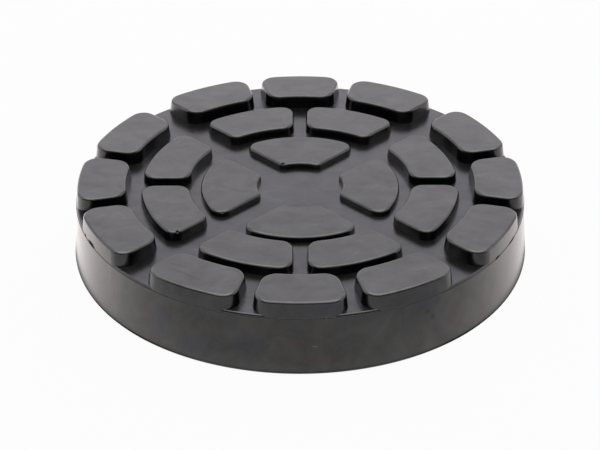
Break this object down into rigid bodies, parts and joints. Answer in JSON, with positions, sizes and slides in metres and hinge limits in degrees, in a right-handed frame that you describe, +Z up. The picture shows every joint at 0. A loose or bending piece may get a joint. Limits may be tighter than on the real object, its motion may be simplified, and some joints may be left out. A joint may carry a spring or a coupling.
{
  "type": "rubber lift pad",
  "caption": "Round moulded rubber pad with concentric rings of raised tread blocks, laid under a load on a vehicle lift's arm to cushion it and stop it sliding.",
  "frame": {"origin": "centre of the flat underside", "axes": "+Z up through the middle of the pad, out of the treaded face; +X and +Y through the middles of four of the outer blocks"},
  "size_m": [0.12, 0.12, 0.0203],
  "materials": {
    "rubber": "matte black moulded rubber, dusty grey where the light grazes it"
  },
  "bodies": {
    "root": {"rubber_pad": "rubber"}
  },
  "joints": []
}
